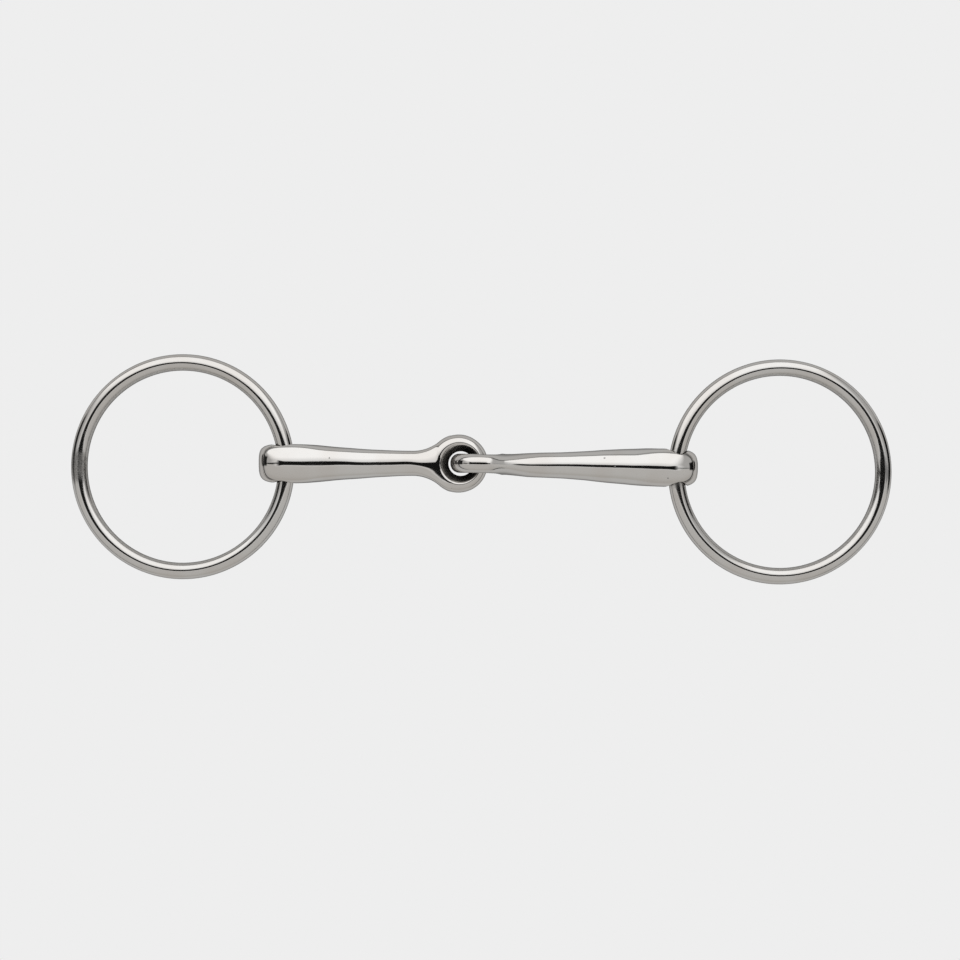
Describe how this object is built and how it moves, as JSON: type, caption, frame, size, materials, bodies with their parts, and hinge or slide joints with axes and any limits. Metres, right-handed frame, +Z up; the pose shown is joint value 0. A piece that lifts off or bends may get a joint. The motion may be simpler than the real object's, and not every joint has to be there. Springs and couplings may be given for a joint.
{
  "type": "snaffle bit",
  "caption": "Jointed loose ring snaffle bit in polished stainless steel: tapered cannons linked eye through eye, with a loose wire ring through each butt end.",
  "frame": {"origin": "midway between the rings, on the level surface that the bit lies on", "axes": "+X from the left ring to the right ring, +Y across the mouthpiece in the plane of the lying rings, +Z up"},
  "size_m": [0.2998, 0.082, 0.0212],
  "materials": {
    "ring_steel": "polished stainless steel wire with fine drawing marks",
    "mouthpiece_steel": "hand-polished stainless steel casting"
  },
  "bodies": {
    "left_cannon": {"left_cannon": "mouthpiece_steel"},
    "right_cannon": {"right_cannon": "mouthpiece_steel"},
    "left_ring": {"left_ring": "ring_steel"},
    "right_ring": {"right_ring": "ring_steel"}
  },
  "joints": [
    {"name": "centre_fold", "type": "hinge", "parent": "left_cannon", "child": "right_cannon", "pos_m": [-0.0083, 0.002, 0.0096], "axis": [-0.0384, 0, 0.9993], "range_deg": [-120, 120]},
    {"name": "left_ring_swing", "type": "hinge", "parent": "left_cannon", "child": "left_ring", "pos_m": [-0.072, 0.00145, 0.00715], "axis": [-0.0086, 1, -0.0003], "range_deg": [-120, 120]},
    {"name": "right_ring_swing", "type": "hinge", "parent": "right_cannon", "child": "right_ring", "pos_m": [0.0707, 0.00115, 0.00713], "axis": [-0.0119, -0.9999, 0.0006], "range_deg": [-120, 120]}
  ]
}
